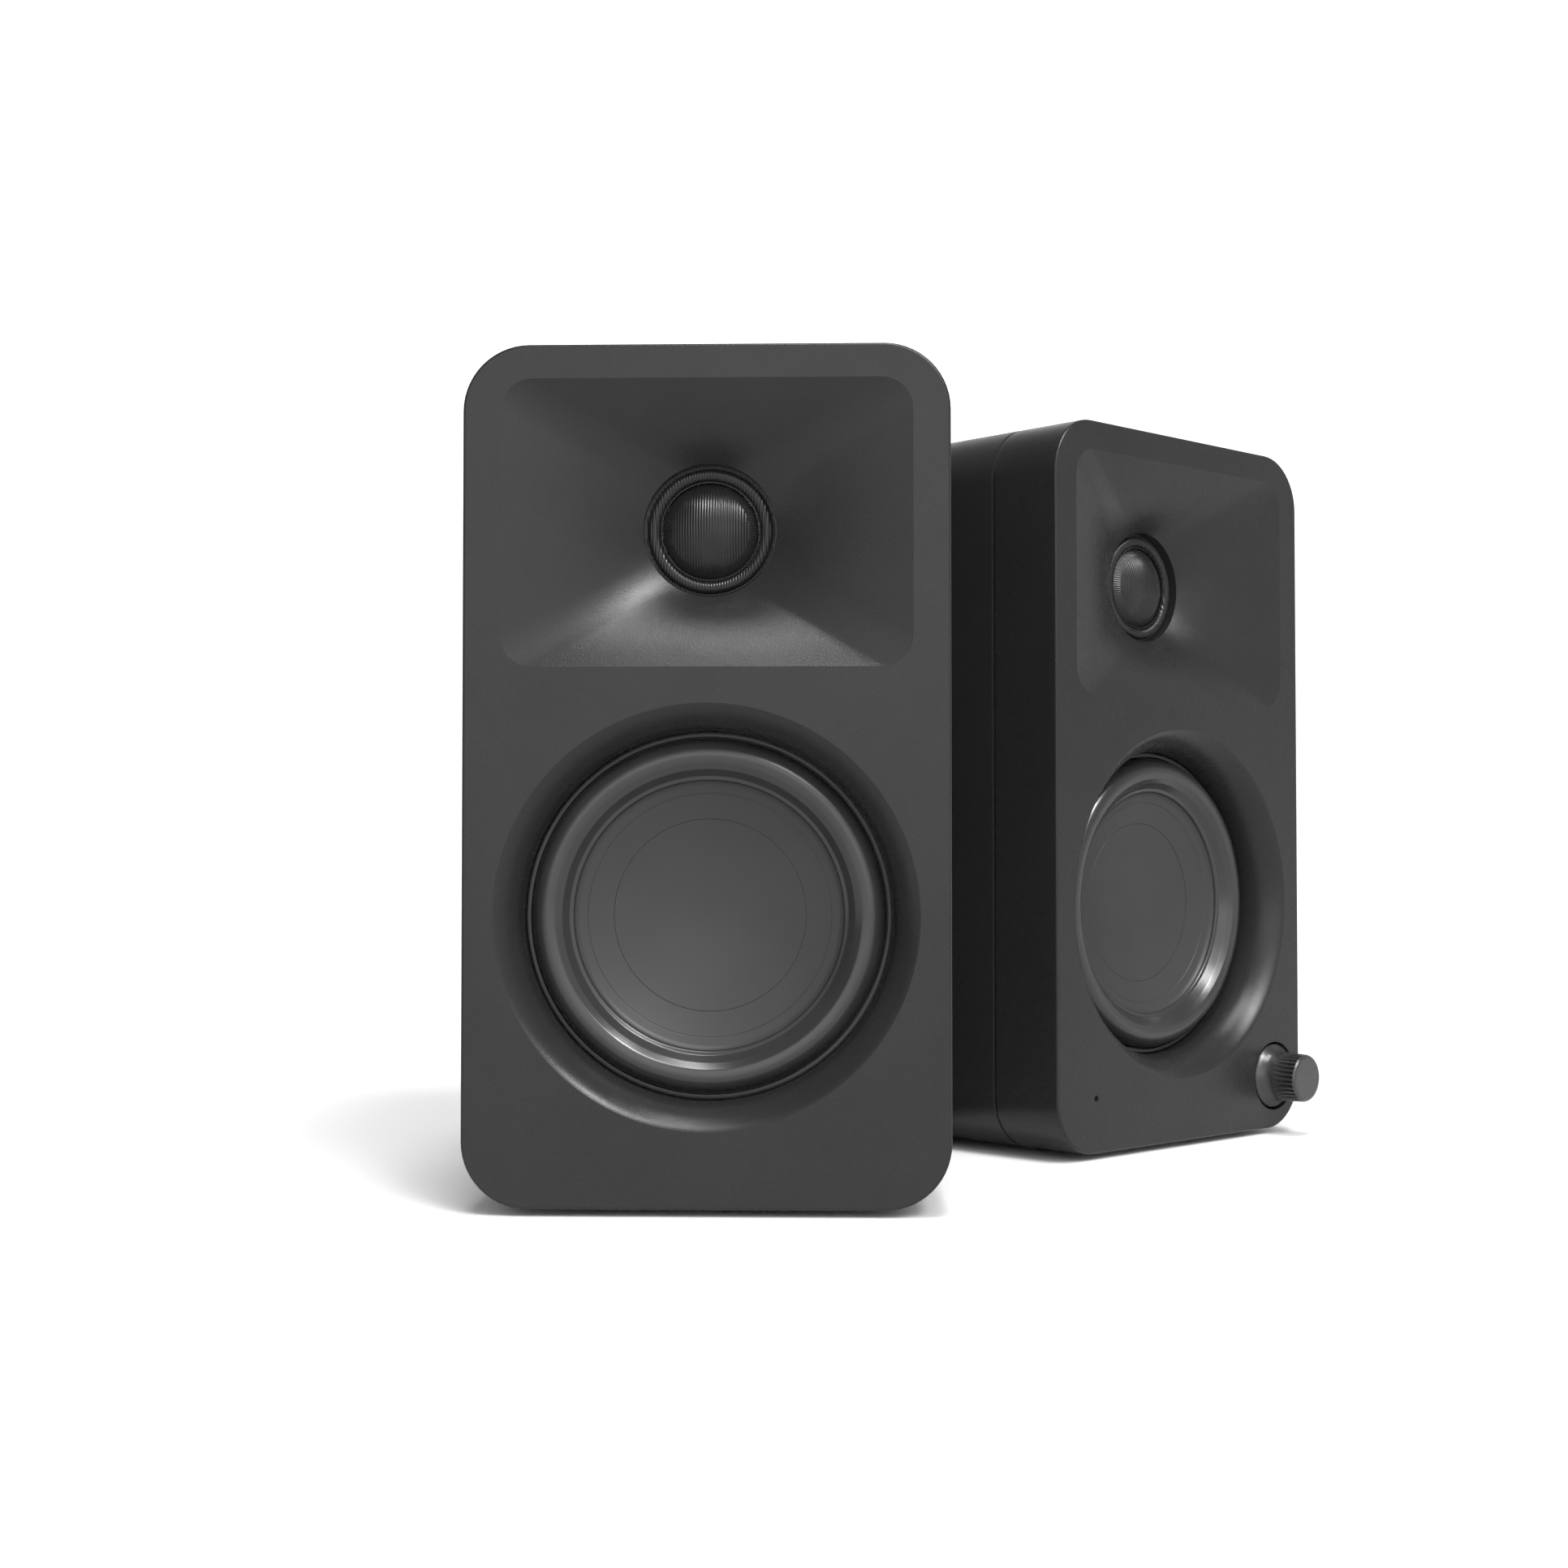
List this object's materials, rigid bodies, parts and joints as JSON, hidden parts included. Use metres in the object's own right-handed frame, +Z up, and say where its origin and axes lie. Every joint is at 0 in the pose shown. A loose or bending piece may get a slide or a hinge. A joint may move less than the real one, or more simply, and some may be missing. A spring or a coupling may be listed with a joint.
{
  "type": "desktop speakers",
  "caption": "Pair of compact two-way desktop speakers: rounded boxes with a moulded waveguide over a flared woofer, one with a ribbed volume knob.",
  "frame": {"origin": "centre of the left speaker's base pad, on the surface it stands on", "axes": "+Z up, -Y is the way the left speaker faces, +X towards the right speaker"},
  "size_m": [0.2, 0.2137, 0.1761],
  "materials": {
    "baffle": "fine-grained matte charcoal moulding",
    "shell": "fine-grained matte charcoal moulding",
    "foam": "black closed-cell foam",
    "rubber_pad": "matt black rubber with moulded ribs",
    "trim": "satin charcoal",
    "basket": "black powder-coated steel",
    "surround": "semi-gloss dark grey butyl rubber",
    "cone": "satin grey",
    "copper": "enamelled copper wire",
    "spider_cloth": "resin-stiffened cotton",
    "motor_steel": "zinc-plated steel",
    "ferrite": "sintered ferrite",
    "dome_cloth": "black coated silk with a fine rib",
    "port": "black moulded plastic",
    "panel": "black moulded plastic with fine grain",
    "socket": "black connector plastic",
    "jack": "nickel-plated brass and steel",
    "board": "green solder mask",
    "heat_sink": "extruded aluminium",
    "knob": "satin charcoal with ribbed grip",
    "lens": "smoked light pipe, unlit"
  },
  "bodies": {
    "left_speaker": {"left_front_baffle": "baffle", "left_rear_shell": "shell", "left_cabinet_gasket": "foam", "left_base_pad": "rubber_pad", "left_woofer_trim_ring": "trim", "left_woofer_basket": "basket", "left_woofer_surround": "surround", "left_woofer_spider": "spider_cloth", "left_woofer_top_plate": "motor_steel", "left_woofer_magnet": "ferrite", "left_woofer_yoke": "motor_steel", "left_tweeter_frame": "basket", "left_tweeter_surround": "dome_cloth", "left_tweeter_motor": "motor_steel", "left_port_tube": "port", "left_rear_panel": "panel", "left_link_socket": "socket"},
    "left_woofer": {"left_woofer_cone": "cone", "left_woofer_dust_cap": "cone", "left_woofer_voice_coil": "copper"},
    "left_tweeter": {"left_tweeter_dome": "dome_cloth", "left_tweeter_voice_coil": "copper"},
    "right_speaker": {"right_front_baffle": "baffle", "right_rear_shell": "shell", "right_cabinet_gasket": "foam", "right_base_pad": "rubber_pad", "right_woofer_trim_ring": "trim", "right_woofer_basket": "basket", "right_woofer_surround": "surround", "right_woofer_spider": "spider_cloth", "right_woofer_top_plate": "motor_steel", "right_woofer_magnet": "ferrite", "right_woofer_yoke": "motor_steel", "right_tweeter_frame": "basket", "right_tweeter_surround": "dome_cloth", "right_tweeter_motor": "motor_steel", "right_port_tube": "port", "right_rear_panel": "panel", "right_link_socket": "socket", "power_inlet": "socket", "sub_out_jack": "jack", "audio_jack_left": "jack", "audio_jack_right": "jack", "usb_socket": "jack", "crossover_switch": "socket", "amplifier_board": "board", "heat_sink": "heat_sink", "encoder_body": "socket", "control_board": "board", "led_lens": "lens"},
    "right_woofer": {"right_woofer_cone": "cone", "right_woofer_dust_cap": "cone", "right_woofer_voice_coil": "copper"},
    "right_tweeter": {"right_tweeter_dome": "dome_cloth", "right_tweeter_voice_coil": "copper"},
    "volume_rotor": {"encoder_rotor": "basket"},
    "volume_knob": {"volume_knob": "knob", "encoder_shaft": "motor_steel"},
    "crossover_slider": {"crossover_slider": "trim"}
  },
  "joints": [
    {"name": "right_speaker_spacing", "type": "slide", "parent": "left_speaker", "child": "right_speaker", "axis": [1, 0, 0], "range_m": [0, 0.3]},
    {"name": "left_woofer_stroke", "type": "slide", "parent": "left_speaker", "child": "left_woofer", "axis": [0, -1, 0], "range_m": [-0.003, 0.003], "stiffness_N_per_m": 500, "deforming": ["left_woofer_surround", "left_woofer_spider"]},
    {"name": "left_tweeter_stroke", "type": "slide", "parent": "left_speaker", "child": "left_tweeter", "axis": [0, -1, 0], "range_m": [-0.0003, 0.0003], "stiffness_N_per_m": 300, "deforming": ["left_tweeter_surround"]},
    {"name": "right_woofer_stroke", "type": "slide", "parent": "right_speaker", "child": "right_woofer", "axis": [0.7071, -0.7071, 0], "range_m": [-0.003, 0.003], "stiffness_N_per_m": 500, "deforming": ["right_woofer_surround", "right_woofer_spider"]},
    {"name": "right_tweeter_stroke", "type": "slide", "parent": "right_speaker", "child": "right_tweeter", "axis": [0.7071, -0.7071, 0], "range_m": [-0.0003, 0.0003], "stiffness_N_per_m": 300, "deforming": ["right_tweeter_surround"]},
    {"name": "volume_turn", "type": "hinge", "parent": "right_speaker", "child": "volume_rotor", "pos_m": [0.13949, 0.08273, 0.0145], "axis": [0.7071, -0.7071, 0], "continuous": true},
    {"name": "volume_press", "type": "slide", "parent": "volume_rotor", "child": "volume_knob", "axis": [-0.7071, 0.7071, 0], "range_m": [0, 0.0006], "stiffness_N_per_m": 1500, "springref_m": -0.0005},
    {"name": "crossover_slide", "type": "slide", "parent": "right_speaker", "child": "crossover_slider", "axis": [0.7071, 0.7071, 0], "range_m": [0, 0.004]}
  ]
}
